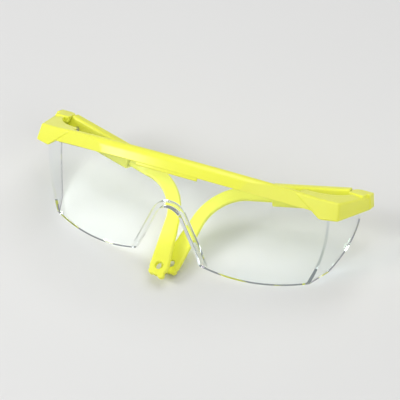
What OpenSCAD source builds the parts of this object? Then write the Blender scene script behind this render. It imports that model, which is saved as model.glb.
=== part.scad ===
// Safety glasses with a clear one-piece lens, a bright brow bar and folding, telescoping temples.
// Sizes are in millimetres. The glasses stand folded, leaning back on the two side shields and
// on the temple tips, with the floor at Z = 0 and +Y towards the wearer. Left, at -X, and right,
// at +X, are as seen by someone facing the wearer.

/* [Lens] */
// Radius of the front curve, seen from above
lens_r = 137; // [130:1:145]
// Thickness of the clear sheet
lens_t = 2.2; // [1.8:0.1:2.4]
// Lean of the lens, lower edge towards the cheeks
lens_lean = 15.7; // [14:0.1:17]
// Depth of the lens below its reference point under the bar
lens_drop = 43.8; // [42:0.1:45]
// Radius at the top of the nose opening
nose_r = 5.8; // [5:0.1:6.5]
// Top of the nose opening below the lens reference point
nose_top = 14; // [12:0.1:16]
// Angle of each side of the nose opening from upright
nose_angle = 24.2; // [22:0.1:27]
// Width of the thick rim around the nose opening
nose_rim = 2.2; // [1.2:0.1:2.4]
// Reach of the nose rim behind the lens
nose_deep = 2.6; // [1:0.1:3]
// Outward splay of the side shields
shield_splay = 16; // [15:0.5:17]
// Radius of the outward bow of the side shields
shield_bow = 100; // [95:1:110]
// Length of the side shields behind the ridge
shield_long = 25.2; // [24.5:0.1:25.5]

/* [Brow bar] */
// Front radius of the bar, seen square to its own plane
bar_r = 124; // [120:1:128]
// Depth of the bar, front to back
bar_deep = 7.5; // [6.5:0.1:9]
// Height of the bar
bar_high = 6.8; // [6:0.1:7.2]
// Rise of the bar from its ends to its middle, as the slope of its plane
bar_rise = 21; // [20:0.5:22]
// Half width of the locating tab in the middle of the bar
tab_half = 14; // [10:0.5:16]
// Drop of the locating tab below the bar
tab_drop = 1.2; // [0.8:0.1:1.6]
// Half width of the front at the corner ridges
ridge_half = 70.2; // [69.5:0.1:71]
// Height of the end pieces
end_high = 7.6; // [7:0.1:8.4]
// Length of the end pieces behind the ridges
end_long = 25; // [24:0.1:25.2]
// Outward splay of the sides of the end pieces
end_splay = 11; // [10:0.5:13]

/* [Hinges] */
// Distance of each fold axis from the middle
hinge_x = 71.4; // [70.9:0.1:71.9]
// Distance of each fold axis behind the ridges
hinge_y = 25.5; // [25:0.1:26]
// Inward lean of the tops of the fold axes
hinge_lean = 10.5; // [9.5:0.1:11]
// Radius of the steel fold pins
pin_r = 0.9; // [0.7:0.05:1]
// Radius of the hinge lugs
lug_r = 3; // [2.7:0.1:3.2]
// Thickness of the lower hinge lug
lug_high = 2.1; // [1.8:0.1:2.2]
// Thickness of the upper hinge lug
lug_top = 2.75; // [2.5:0.05:3]
// Reach of the hinge lugs outward from the fold axis
lug_out = 4.5; // [4.3:0.1:4.7]
// Height of the knuckle between the lugs
knuckle_high = 3.4; // [3:0.1:3.6]
// Distance from the fold axis to the tilt pivot
tilt_x = 9; // [8.5:0.1:9.5]
// Radius of the ratchet disc around the tilt pivot
disc_r = 3.6; // [3.4:0.1:3.7]
// Radius of the tilt pivot
tilt_r = 1.1; // [0.9:0.05:1.3]
// Thickness of the tongue that carries the ratchet disc
tongue_t = 2.2; // [1.8:0.1:2.4]

/* [Temples] */
// Angle the left temple is folded past square
fold_left = 9.2; // [9:0.1:9.6]
// Angle the right temple is folded past square
fold_right = 4.6; // [4:0.1:4.8]
// Distance the left arm is drawn out, in whole clicks
out_left = 2; // [0:2:4]
// End of the sleeve, from the fold axis
sleeve_end = 39; // [37:0.5:40]
// Height of the sleeve
sleeve_high = 9.2; // [8.8:0.1:9.6]
// Thickness of the sleeve
sleeve_t = 5; // [4.8:0.1:5.4]
// Height of the sliding arm
arm_high = 6.2; // [5.8:0.1:6.4]
// Thickness of the sliding arm
arm_t = 2.5; // [2.2:0.1:2.7]
// Start of the ear bend, from the fold axis
bend_start = 49.5; // [49:0.1:50]
// Radius of the ear bend
bend_r = 22.6; // [22:0.1:23]
// Turn of the ear bend
bend_turn = 68.9; // [68:0.1:70]
// Inward cant of the ear hook
hook_cant = 38.5; // [37:0.1:40]
// Length of the hook from the bend to the cord hole
hook_long = 22.6; // [22:0.1:23.4]
// Width of the paddle at the end of the hook
paddle_w = 8.9; // [8:0.1:9.4]
// Radius of the cord hole
cord_r = 1.7; // [1.4:0.1:2]

/* [Resting pose] */
// Backward lean of the folded glasses on the floor
rest_lean = 29.9; // [26:0.1:30]
// Height of the ridge corners' reference point above the floor
rest_high = 41.17; // [40:0.01:46]
// Distance of the ridge corners' reference point behind the middle of the part
rest_back = 5.63; // [0:0.01:12]

/* [Hidden] */
$fn = 96;

yellow = [0.93, 0.95, 0.16];
clear = [0.86, 0.90, 0.92, 0.35];
steel = [0.72, 0.73, 0.75];

far = 200;                                // reach of the cutting blocks
over = 1;                                 // reach of a cut past a face, and of a joint into a face
slot_gap = 0.08;                          // ease of the lens in its slot
lens_y = -17.7;                           // middle of the lens front at its reference point
lens_z = -4;
lens_top = 6.6;                           // top of the lens, inside the bar
lens_top_r = 190;
lens_low_r = 90;                          // curve of each half of the lower edge
lens_low_x = 43.5;
shield_x = 66.3;                          // outside of the shields beside the ridge corners
shield_z = -3;
shield_top = -3.4;                        // top of the shields, inside the end pieces
shield_step = 3;                          // where the lower top of the shields begins
shield_edge_r = 40;                       // curve of the rear edge of the shields
shield_mid_y = shield_long - 41;
shield_mid_z = -14.5;
nose_steps = 18;                          // flats around the arch of the nose opening
bar_y = -21.8;                            // middle of the lower front edge of the bar
bar_z = 1.7;
bar_half = 30;                            // half angle of the bar
bar_round = 3.5;
bar_steps = 9;                            // flats around the rounded corner of the bar
bar_draft = 1.2;                          // rise of the underside of the bar towards its back
tab_t = 1.4;
tab_back = 0.3;                           // step back of the tab behind the front of the bar
end_facet = 25.9;                         // direction of the facet in front of each ridge
end_facet_lean = 12;
end_side_lean = 10;
end_roof_slope = 6;                       // fall of the roof to its sides, then to its rear
end_roof_fall = 3;
end_start = 50;                           // where the end piece meets the back of the bar
end_front = 16.7;                         // reach of the end piece in front of the ridge, inside the bar
end_inner = 66.7;                         // inner side of the end piece at its rear
end_spare = 20;                           // width cut away outside the end piece
end_cut_x = 59.4;                         // start of the sloping edge under the facet
end_cut_z = -3.8;
end_cut_slope = 40.6;
cove_r = 24;                              // hollow behind the end piece, beside the temple
cove_x = 45.5;
cove_y = 24;
hinge_z = -4.1;
hinge_clear = 4.5;                        // cut-back of the shields in front of and below the hinges
lug_gap = 0.1;                            // play of the knuckle between the lugs
lug_web = 6;                              // reach of the lugs into the end piece
lug_reach = 3.7;                          // reach of the lugs behind and inside the fold axis
lug_rise = 0.6;                           // step of the tops of the lugs above the roof
lug_step = 1.5;                           // reach of their outer half, only just into it
lug_wall = 0.5;                           // room between the knuckle and the wall outside it
lug_steps = 8;                            // flats around the inner corner of the lugs
pin_seat = 0.85;                          // depth of the fold pin in the closed upper lug
pin_end_gap = 0.2;
pin_play = 0.05;
press = 0.02;
tongue_gap = 0.1;
disc_gap = 0.6;                           // room behind the ratchet disc, then above it
disc_top_gap = 0.25;
sleeve_start = 4.4;
sleeve_slant = 2.6;                       // slant under the front of the sleeve, clear of the shield
sleeve_round = 1.2;
channel_start = 15.4;
arm_gap = 0.1;
arm_start = 17.4;
twist_start = 41;
twist_edge = 0.02;                        // thickness of the slices that the twist runs between
stop_start = 20.4;                        // first length stop, from the fold axis
stop_step = 2;                            // spacing of the length stops along the arm
stop_last = 3;                            // number of the last stop, counted from 0
stop_r = 0.45;
click_step = 15;                          // angle between the notches of the ratchet disc
click_last = 2;                           // notches on each side of the middle one
click_r = 0.35;
lobe_r = 1.5;                             // lobes of the tip: past the cord hole, and off the middle
lobe_far = [4.15, 1.8];
lobe_near = [2.6, -2.7];
bend_steps = 22;                          // flats along the ear bend
tip_steps = 18;                           // flats around the tip

// Stand the folded glasses on the floor
module at_rest() {
    translate([0, rest_back, rest_high]) rotate([-rest_lean, 0, 0]) children();
}

// Draw a left piece as it is, and a right piece as its mirror image
module on_side(side) {
    if (side < 0) children();
    else mirror([1, 0, 0]) children();
}

// Place on the left fold axis
module at_axis() {
    translate([-hinge_x, hinge_y, hinge_z]) rotate([0, hinge_lean, 0]) children();
}

// Place along the folded temple of one side, X along the temple and Z up the fold axis
module along_temple(side) {
    on_side(side) at_axis() rotate([0, 0, side < 0 ? -fold_left : -fold_right]) children();
}

// Lens reference frame, Z up the lens and Y behind it
module at_lens() {
    translate([0, lens_y, lens_z]) rotate([lens_lean, 0, 0]) children();
}

// Everything inside the outward bow of the +X shield, a distance in from its outer face
module shield_curve(inset) {
    translate([shield_x, 0, shield_z]) rotate([0, 0, -shield_splay])
        translate([-shield_bow, -far / 2, 0]) rotate([-90, 0, 0])
        cylinder(r = shield_bow - inset, h = far);
}

// Everything behind the front curve and between the shields, a distance in from their outer faces
module head_space(inset) {
    intersection() {
        at_lens() translate([0, lens_r, -far / 2]) cylinder(r = lens_r - inset, h = far);
        shield_curve(inset);
        mirror([1, 0, 0]) shield_curve(inset);
    }
}

// Clear sheet before it is trimmed, with ease for the slot it sits in
module sheet(ease) {
    difference() {
        head_space(-ease);
        head_space(lens_t + ease);
    }
}

// Outline of the nose opening, grown by a rim: an arch on two sloping legs
module nose_outline(grow) {
    r = nose_r + grow;
    mid = -nose_top - nose_r;
    step = (180 - 2 * nose_angle) / nose_steps;
    turns = [for (k = [0 : nose_steps]) nose_angle + k * step];
    arch = [for (t = turns) [r * cos(t), mid + r * sin(t)]];
    foot_x = r * cos(nose_angle) + lens_drop * sin(nose_angle);
    foot_z = mid + r * sin(nose_angle) - lens_drop * cos(nose_angle);
    polygon(concat(arch, [[-foot_x, foot_z], [foot_x, foot_z]]));
}

// Lens outline seen from the front, with ease at the top
module lens_outline(ease) {
    intersection() {
        translate([0, lens_top - lens_top_r]) circle(r = lens_top_r + ease);
        union() {
            translate([-lens_low_x, lens_low_r - lens_drop]) circle(r = lens_low_r);
            translate([lens_low_x, lens_low_r - lens_drop]) circle(r = lens_low_r);
        }
    }
}

// Push an outline through the lens from front to back
module through_lens() {
    at_lens() translate([0, far / 2, 0]) rotate([90, 0, 0]) linear_extrude(far) children();
}

// Everything in front of the rear edges of the shields and below their tops
module side_trim(ease) {
    translate([-far / 2, 0, 0]) rotate([90, 0, 90]) linear_extrude(far) difference() {
        translate([shield_mid_y, shield_mid_z]) circle(r = shield_edge_r);
        translate([shield_step, shield_top + ease]) square(far);
        translate([hinge_y - hinge_clear, hinge_z - hinge_clear + ease]) square(far);
    }
}

// Thick rim around the nose opening, before it is trimmed
module nose_bead() {
    intersection() {
        difference() {
            head_space(lens_t / 2);
            head_space(lens_t + nose_deep);
        }
        through_lens() nose_outline(nose_rim);
    }
}

module lens() {
    color(clear) at_rest() difference() {
        intersection() {
            union() {
                sheet(0);
                nose_bead();
            }
            through_lens() lens_outline(0);
            side_trim(0);
        }
        through_lens() nose_outline(0);
    }
}

// Section of the bar, its front and upper corner rounded
module bar_section() {
    back = bar_r - bar_deep;
    corner = [for (k = [0 : bar_steps]) [bar_r - bar_round + bar_round * cos(90 * k / bar_steps),
        bar_high - bar_round + bar_round * sin(90 * k / bar_steps)]];
    polygon(concat([[back, bar_draft], [bar_r, 0]], corner, [[back, bar_high]]));
}

// Everything behind the facet in front of the +X ridge
module facet_space() {
    translate([ridge_half, 0, 0]) rotate([0, 0, end_facet]) rotate([-end_facet_lean, 0, 0])
        translate([-far, 0, -far / 2]) cube([2 * far, far, far]);
}

// Frame of the bar, at the middle of its curve
module at_bar() {
    translate([0, bar_y, bar_z]) rotate([-bar_rise, 0, 0]) translate([0, bar_r, 0]) children();
}

// Curved bar, cut off along the facets, with its locating tab
module bar() {
    tab_angle = asin(tab_half / bar_r);
    intersection() {
        at_bar() rotate([0, 0, -90 - bar_half]) rotate_extrude(angle = 2 * bar_half) bar_section();
        facet_space();
        mirror([1, 0, 0]) facet_space();
    }
    at_bar() rotate([0, 0, -90 - tab_angle]) rotate_extrude(angle = 2 * tab_angle)
        translate([bar_r - tab_t - tab_back, -tab_drop]) square([tab_t, tab_drop + over]);
}

// Everything below a roof that falls to the rear and to the +X side, above the ridge by a step
module roof_space(slope, step) {
    translate([ridge_half, 0, step]) rotate([-end_roof_fall, 0, 0]) rotate([0, slope, 0])
        translate([-far / 2, -far / 2, -far]) cube(far);
}

// Angular end piece on the +X side
module end_piece() {
    difference() {
        intersection() {
            translate([0, 0, -end_high]) linear_extrude(2 * end_high)
                polygon([[end_start, -end_front], [ridge_half + end_spare, -end_front],
                    [ridge_half + end_spare, end_long], [end_inner, end_long], [end_start, over]]);
            facet_space();
            translate([ridge_half, 0, 0]) rotate([0, 0, 90 - end_splay])
                rotate([-end_side_lean, 0, 0]) translate([-far / 2, 0, -far / 2]) cube(far);
            roof_space(end_roof_slope, 0);
            translate([end_cut_x, 0, end_cut_z]) rotate([0, end_cut_slope, 0])
                translate([-far / 2, -far / 2, 0]) cube(far);
        }
        translate([cove_x, cove_y, -far / 2]) cylinder(r = cove_r, h = far);
    }
}

// Outline of the left hinge housing seen along the fold axis, square outside and round inside
module lug_outline() {
    turns = [for (k = [0 : lug_steps]) 90 * k / lug_steps];
    corner = [for (t = turns) [lug_reach * cos(t), lug_reach * sin(t)]];
    polygon(concat([[-lug_out, lug_reach], [-lug_out, -lug_step], [-lug_r, -lug_step],
        [-lug_r, -lug_web], [lug_reach, -lug_web]], corner));
}

// Two lugs on the left fold axis, joined outside the knuckle, without their pin hole
module lugs() {
    half = knuckle_high / 2 + lug_gap;
    difference() {
        translate([0, 0, -half - lug_high]) linear_extrude(2 * half + lug_high + lug_top) lug_outline();
        translate([-lug_r - lug_wall, -far / 2, -half]) cube([far, far, 2 * half]);
    }
}

module brow_bar() {
    half = knuckle_high / 2 + lug_gap;
    color(yellow) at_rest() difference() {
        union() {
            bar();
            for (s = [-1, 1]) {
                on_side(-s) end_piece();
                intersection() {
                    on_side(s) at_axis() lugs();
                    on_side(-s) roof_space(0, lug_rise);
                }
            }
        }
        intersection() {
            sheet(slot_gap);
            through_lens() lens_outline(slot_gap);
            side_trim(slot_gap);
        }
        for (s = [-1, 1]) on_side(s) at_axis() {
            translate([0, 0, -half]) cylinder(r = lug_r + 2 * lug_gap, h = 2 * half);
            translate([0, 0, -half - lug_high - over]) cylinder(r = pin_r + press,
                h = 2 * half + lug_high + over + pin_seat + pin_end_gap);
        }
    }
}

// Steel pin of one fold hinge, held in the lugs
module hinge_pin(side) {
    half = knuckle_high / 2 + lug_gap;
    color(steel) at_rest() on_side(side) at_axis() translate([0, 0, -half - lug_high])
        cylinder(r = pin_r, h = 2 * half + lug_high + pin_seat);
}

module hinge_pin_left() { hinge_pin(-1); }
module hinge_pin_right() { hinge_pin(1); }

// Knuckle on the fold pin, with a tongue that carries the ratchet disc
module hinge_block(side) {
    color(yellow) at_rest() along_temple(side) difference() {
        union() {
            translate([0, 0, -knuckle_high / 2]) cylinder(r = lug_r - lug_gap, h = knuckle_high);
            translate([0, -tongue_t / 2, -knuckle_high / 2]) cube([tilt_x, tongue_t, knuckle_high]);
            translate([tilt_x, tongue_t / 2, 0]) rotate([90, 0, 0]) cylinder(r = disc_r, h = tongue_t);
        }
        translate([0, 0, -knuckle_high]) cylinder(r = pin_r + pin_play, h = 2 * knuckle_high);
        translate([tilt_x, tongue_t, 0]) rotate([90, 0, 0]) {
            cylinder(r = tilt_r + pin_play, h = 2 * tongue_t);
            for (k = [-click_last : click_last]) rotate([0, 0, k * click_step]) translate([disc_r, 0, 0])
                cylinder(r = click_r, h = 2 * tongue_t);
        }
    }
}

module hinge_block_left() { hinge_block(-1); }
module hinge_block_right() { hinge_block(1); }

// Pivot pressed through the sleeve, on which the temple tilts
module tilt_pivot(side) {
    color(steel) at_rest() along_temple(side) translate([tilt_x, sleeve_t / 2, 0]) rotate([90, 0, 0])
        cylinder(r = tilt_r, h = sleeve_t);
}

module tilt_pivot_left() { tilt_pivot(-1); }
module tilt_pivot_right() { tilt_pivot(1); }

// Rectangle with rounded corners, centred
module soft_rectangle(w, h, r) {
    square([w - 2 * r, h], center = true);
    square([w, h - 2 * r], center = true);
    for (x = [-1, 1]) for (y = [-1, 1]) translate([x * (w / 2 - r), y * (h / 2 - r)]) circle(r = r);
}

// Push a section along the temple
module along_x(from, to) {
    translate([from, 0, 0]) rotate([90, 0, 90]) linear_extrude(to - from) children();
}

// Sleeve of one temple: a fork around the ratchet disc, then the channel of the arm
module temple_sleeve(side) {
    fork = tongue_t + 2 * tongue_gap;
    color(yellow) at_rest() along_temple(side) difference() {
        along_x(sleeve_start, sleeve_end) soft_rectangle(sleeve_t, sleeve_high, sleeve_round);
        translate([0, -fork / 2, -sleeve_high])
            cube([tilt_x + disc_r + disc_gap, fork, sleeve_high + disc_r + disc_top_gap]);
        translate([sleeve_start, -sleeve_t, sleeve_slant - sleeve_high / 2]) rotate([0, 45, 0])
            translate([-far / 2, 0, -far]) cube([far, 2 * sleeve_t, far]);
        along_x(channel_start, sleeve_end + over)
            square([arm_t + 2 * arm_gap, arm_high + 2 * arm_gap], center = true);
        translate([tilt_x, sleeve_t, 0]) rotate([90, 0, 0])
            cylinder(r = tilt_r + press, h = 2 * sleeve_t);
    }
}

module temple_sleeve_left() { temple_sleeve(-1); }
module temple_sleeve_right() { temple_sleeve(1); }

// Point of the hook, a distance along it from the end of the bend and a distance out from its middle
function hook_point(along, out) = [
    bend_start + (bend_r + out) * sin(bend_turn) + along * cos(bend_turn),
    (bend_r + out) * cos(bend_turn) - bend_r - along * sin(bend_turn)];

// Flat outline of the ear bend and the hook with its two-lobed tip and cord hole
module hook_outline() {
    half = arm_high / 2;
    wide = paddle_w / 2;
    turns = [for (k = [0 : bend_steps - 1]) bend_turn * k / bend_steps];
    outer = [for (t = turns) [bend_start + (bend_r + half) * sin(t), (bend_r + half) * cos(t) - bend_r]];
    inner = [for (t = turns) [bend_start + (bend_r - half) * sin(t), (bend_r - half) * cos(t) - bend_r]];
    tip = [for (k = [0 : tip_steps]) hook_point(hook_long + wide * sin(180 * k / tip_steps),
        wide * cos(180 * k / tip_steps))];
    back = [for (k = [1 : bend_steps]) inner[bend_steps - k]];
    difference() {
        union() {
            polygon(concat(outer, [hook_point(0, half)], tip, [hook_point(0, -half)], back));
            for (p = [lobe_far, lobe_near])
                translate(hook_point(hook_long + p[0], p[1])) circle(r = lobe_r);
        }
        translate(hook_point(hook_long, 0)) circle(r = cord_r);
    }
}

// Sliding arm of one temple: straight in the sleeve, then canted inward and bent down behind the ear
module temple_arm(side) {
    out = side < 0 ? out_left : 0;
    color(yellow) at_rest() along_temple(side) translate([out, 0, 0]) {
        difference() {
            along_x(arm_start, twist_start) square([arm_t, arm_high], center = true);
            for (k = [0 : stop_last]) translate([stop_start + k * stop_step, arm_t, arm_high / 2])
                rotate([90, 0, 0]) cylinder(r = stop_r, h = 2 * arm_t);
        }
        hull() {
            translate([twist_start, 0, 0]) cube([twist_edge, arm_t, arm_high], center = true);
            translate([bend_start, 0, 0]) rotate([-hook_cant, 0, 0])
                cube([twist_edge, arm_t, arm_high], center = true);
        }
        rotate([-hook_cant, 0, 0]) translate([0, arm_t / 2, 0]) rotate([90, 0, 0])
            linear_extrude(arm_t) hook_outline();
    }
}

module temple_arm_left() { temple_arm(-1); }
module temple_arm_right() { temple_arm(1); }

brow_bar();
lens();
hinge_pin_left();
hinge_pin_right();
hinge_block_left();
hinge_block_right();
tilt_pivot_left();
tilt_pivot_right();
temple_sleeve_left();
temple_sleeve_right();
temple_arm_left();
temple_arm_right();
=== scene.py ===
"""Looks of the folded safety glasses: clear lens, yellow brow bar, hinges and temples."""
import math

import bmesh
import bpy
from bpy.props import FloatProperty, FloatVectorProperty, PointerProperty
from mathutils import Matrix, Vector


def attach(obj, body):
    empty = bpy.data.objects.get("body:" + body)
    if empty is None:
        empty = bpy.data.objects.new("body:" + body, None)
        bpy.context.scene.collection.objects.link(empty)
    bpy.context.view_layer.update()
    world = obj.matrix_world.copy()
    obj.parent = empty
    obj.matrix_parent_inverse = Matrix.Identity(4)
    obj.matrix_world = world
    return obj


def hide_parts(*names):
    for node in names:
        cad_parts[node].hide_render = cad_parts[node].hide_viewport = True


bl_info = {
    "name": "Safety Glasses",
    "version": (1, 0, 0),
    "blender": (4, 5, 0),
    "location": "3D View > Sidebar > Safety Glasses",
    "description": "Models and finishes a pair of folding safety glasses",
    "category": "Object",
}

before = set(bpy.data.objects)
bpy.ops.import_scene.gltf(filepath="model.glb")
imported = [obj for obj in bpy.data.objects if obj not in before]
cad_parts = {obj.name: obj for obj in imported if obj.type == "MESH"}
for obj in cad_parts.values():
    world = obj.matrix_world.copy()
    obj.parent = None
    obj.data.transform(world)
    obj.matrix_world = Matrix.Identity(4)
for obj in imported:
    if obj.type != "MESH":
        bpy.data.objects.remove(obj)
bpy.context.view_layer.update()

SIDES = {"left": -1, "right": 1}
TOUCHING = 0.00001      # metres between points that are one point
ON_PLANE = 0.0000001    # metres between a plane and a point that lies on it


def length(name, description, millimetres):
    """A length property, given in millimetres"""
    return FloatProperty(name=name, description=description, default=millimetres / 1000,
                         precision=5, unit="LENGTH", subtype="DISTANCE")


def angle(name, description, degrees):
    """An angle property, given in degrees"""
    return FloatProperty(name=name, description=description, default=math.radians(degrees),
                         unit="ROTATION", subtype="ANGLE")


def colour(name, description, default):
    """A colour property, in linear light"""
    return FloatVectorProperty(name=name, description=description, default=default, size=3,
                               min=0.0, max=1.0, subtype="COLOR")


class RestingPose(bpy.types.PropertyGroup):
    """How the folded glasses lean on the floor"""
    lean: angle("Lean", "Backward lean of the folded glasses", 29.9)
    high: length("Height", "Height of the corner ridges above the floor", 41.17)
    back: length("Setback", "Corner ridges behind the middle of the part", 5.63)


class LensSizes(bpy.types.PropertyGroup):
    """Sizes of the clear lens"""
    front_r: length("Front radius", "Radius of the front curve, seen from above", 137)
    thick: length("Thickness", "Thickness of the clear sheet", 2.2)
    lean: angle("Lean", "Lean of the lens, lower edge towards the cheeks", 15.7)
    ref_y: length("Reference setback", "Front of the lens at its reference point", -17.7)
    ref_z: length("Reference height", "Height of the lens reference point", -4)
    top: length("Top", "Top of the lens, inside the bar", 6.4)
    top_r: length("Top radius", "Curve of the top edge", 190)
    drop: length("Drop", "Depth of the lens below its reference point", 43.8)
    low_r: length("Lower radius", "Curve of each half of the lower edge", 90)
    low_x: length("Lower middle", "Lowest place of each half from the middle", 43.5)
    nose_r: length("Nose radius", "Radius at the top of the nose opening", 5.8)
    nose_top: length("Nose top", "Top of the nose opening below the reference point", 14)
    nose_angle: angle("Nose angle", "Sides of the nose opening from upright", 24.2)
    nose_rim: length("Nose rim", "Width of the thick nose rim", 2.2)
    nose_deep: length("Nose rim depth", "Reach of the nose rim behind the lens", 2.6)
    nib_long: length("Foot length", "Height over which the nose rim tapers to its feet", 6)
    nib_deep: length("Foot depth", "Reach of the nose rim at its feet", 0.5)
    shield_x: length("Shield place", "Outside of the shields beside the ridges", 66.3)
    shield_z: length("Shield height", "Widest level of the shields", -3)
    splay: angle("Shield splay", "Outward splay of the side shields", 16)
    bow: length("Shield bow", "Radius of the outward bow of the shields", 100)
    shield_top: length("Shield top", "Top of the shields, inside the end pieces", -3.6)
    rear_y: length("Rear edge middle", "Middle of the rear edge's curve, front to back", -15.8)
    rear_z: length("Rear edge height", "Middle of the rear edge's curve, in height", -14.5)
    rear_r: length("Rear edge radius", "Curve of the rear edge of the shields", 40)
    notch_y: length("Notch setback", "Start of the cut-back in front of the hinges", 21)
    notch_z: length("Notch level", "Level of the cut-back below the hinges", -8.6)
    edge: length("Edge rounding", "Rounding of the polished edges", 0.35)
    bead: length("Rim rounding", "Rounding of the thick nose rim", 0.9)


class BarSizes(bpy.types.PropertyGroup):
    """Sizes of the brow bar and its end pieces"""
    front_r: length("Front radius", "Front radius of the bar, square to its own plane", 124)
    deep: length("Depth", "Depth of the bar, front to back", 7.5)
    high: length("Height", "Height of the bar", 6.8)
    draft: length("Draft", "Rise of the underside towards the back", 1.2)
    rise: angle("Rise", "Slope of the bar from its ends to its middle", 21)
    place_y: length("Place", "Middle of the lower front edge, front to back", -21.8)
    place_z: length("Level", "Middle of the lower front edge, in height", 1.7)
    half: angle("Half angle", "Half of the turn of the bar", 30)
    brow: length("Brow rounding", "Rounding of the front upper corner", 3.5)
    edge: length("Edge rounding", "Rounding of the other edges", 0.45)
    end_edge: length("End rounding", "Rounding of the edges of the end pieces", 0.9)
    proud: length("Step", "Step of the end pieces in front of the bar", 0.5)
    tab_half: length("Tab half width", "Half width of the locating tab", 14)
    tab_drop: length("Tab drop", "Drop of the locating tab below the bar", 1.2)
    tab_thick: length("Tab thickness", "Thickness of the locating tab", 1.4)
    tab_back: length("Tab step", "Step of the tab behind the front of the bar", 0.3)
    ridge_half: length("Ridge half width", "Half width of the front at the corner ridges", 70.2)
    end_high: length("End height", "Depth of the end pieces below the ridge tops", 7.6)
    end_long: length("End length", "Length of the end pieces behind the ridges", 25)
    end_front: length("End front", "Reach of the end pieces in front of the ridges", 16.7)
    end_start: length("End start", "Where the end pieces leave the back of the bar", 50)
    end_back: length("End start setback", "Inner side of the end pieces at their start", 1)
    end_inner: length("End inside", "Inner side of the end pieces at their rear", 66.7)
    facet: angle("Facet turn", "Direction of the facet in front of each ridge", 25.9)
    facet_lean: angle("Facet lean", "Lean of the facet in front of each ridge", 12)
    side_splay: angle("Side splay", "Outward splay of the sides", 11)
    side_lean: angle("Side lean", "Inward lean of the sides", 10)
    roof: angle("Roof slope", "Fall of the roof of the end pieces to the sides", 6)
    roof_fall: angle("Roof fall", "Fall of the roof of the end pieces to the rear", 3)
    cut_x: length("Cut start", "Start of the sloping edge under the facet", 59.4)
    cut_z: length("Cut level", "Level of the sloping edge under the facet", -3.8)
    cut_slope: angle("Cut slope", "Slope of the edge under the facet", 40.6)
    cove_r: length("Cove radius", "Hollow behind the end piece", 24)
    cove_x: length("Cove place", "Middle of the hollow, sideways", 45.5)
    cove_y: length("Cove setback", "Middle of the hollow, front to back", 24)


class HingeSizes(bpy.types.PropertyGroup):
    """Sizes of the hinges"""
    place_x: length("Place", "Fold axis from the middle", 71.4)
    place_y: length("Setback", "Fold axis behind the ridges", 25.5)
    place_z: length("Level", "Middle of the fold axis", -4.1)
    lean: angle("Lean", "Inward lean of the top of the fold axis", 10.5)
    lug_r: length("Knuckle room", "Radius of the room for the knuckle", 3)
    lug_out: length("Lug reach", "Reach of the lugs outward", 4.5)
    lug_reach: length("Lug radius", "Reach of the lugs behind and inside the fold axis", 3.7)
    lug_rise: length("Lug rise", "Step of the tops of the lugs above the roof", 0.6)
    lug_soft: length("Lug rounding", "Rounding of the lugs", 0.6)
    lug_web: length("Lug root", "Reach of the lugs into the end piece", 6)
    lug_step: length("Lug step", "Reach of their outer half into the end piece", 1.5)
    lug_low: length("Lower lug", "Thickness of the lower lug", 2.1)
    lug_top: length("Upper lug", "Thickness of the upper lug", 2.75)
    gap: length("Knuckle gap", "Height of the room for the knuckle", 3.6)
    room_play: length("Knuckle play", "Play around the knuckle in its room", 0.2)
    wall: length("Wall", "Inside of the wall from the fold axis", 3.5)
    pin_r: length("Pin hole", "Radius of the hole of the fold pin", 0.92)
    pin_seat: length("Pin seat", "Depth of the pin hole in the upper lug", 1.05)
    tilt_x: length("Tilt pivot", "Tilt pivot from the fold axis", 9)
    tilt_r: length("Pivot hole", "Radius of the hole of the tilt pivot", 1.12)


class TempleSizes(bpy.types.PropertyGroup):
    """Sizes of the temples"""
    fold_left: angle("Left fold", "Left temple folded past square", 9.2)
    fold_right: angle("Right fold", "Right temple folded past square", 4.6)
    out_left: length("Left length", "Distance the left arm is drawn out", 2)
    sleeve_start: length("Sleeve start", "Front of the sleeve from the fold axis", 4.4)
    sleeve_end: length("Sleeve end", "End of the sleeve from the fold axis", 39)
    sleeve_high: length("Sleeve height", "Height of the sleeve", 9.2)
    sleeve_thick: length("Sleeve thickness", "Thickness of the sleeve", 5)
    sleeve_round: length("Sleeve rounding", "Rounding along the sleeve", 1.2)
    sleeve_slant: length("Sleeve slant", "Slant under the front of the sleeve", 2.6)
    fork: length("Fork", "Width of the fork around the ratchet disc", 2.4)
    fork_end: length("Fork end", "End of the fork from the fold axis", 13.2)
    fork_top: length("Fork top", "Top of the fork above the tilt pivot", 3.85)
    channel_start: length("Channel start", "Start of the arm's channel", 15.4)
    play: length("Play", "Play of the arm in its channel", 0.1)
    arm_start: length("Arm start", "Hidden end of the arm from the fold axis", 17.4)
    arm_high: length("Arm height", "Height of the arm", 6.2)
    arm_thick: length("Arm thickness", "Thickness of the arm", 2.5)
    arm_round: length("Arm rounding", "Rounding along the arm", 0.95)
    twist_start: length("Twist start", "Start of the twist from the fold axis", 41)
    bend_start: length("Bend start", "Start of the ear bend from the fold axis", 49.5)
    bend_r: length("Bend radius", "Radius of the ear bend", 22.6)
    bend_turn: angle("Bend", "Turn of the ear bend", 68.9)
    cant: angle("Cant", "Inward cant of the ear hook", 38.5)
    hook_long: length("Hook length", "From the bend to the cord hole", 22.6)
    paddle: length("Paddle width", "Width of the paddle at the end", 8.9)
    cord_r: length("Cord hole", "Radius of the cord hole", 1.7)
    cord_soft: length("Cord hole rounding", "Slanted rim of the cord hole", 0.3)
    lobe_r: length("Lobe radius", "Radius of the two lobes of the tip", 1.5)
    long_lobe: length("Long lobe", "Reach of the longer lobe past the cord hole", 4.15)
    long_lobe_off: length("Long lobe offset", "Longer lobe from the middle of the hook", 1.8)
    short_lobe: length("Short lobe", "Reach of the shorter lobe past the cord hole", 2.6)
    short_lobe_off: length("Short lobe offset", "Shorter lobe from the middle of the hook", -2.7)
    end_soft: length("End rounding", "Rounding of the ends of the sleeve and of the lobes", 0.4)


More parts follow.
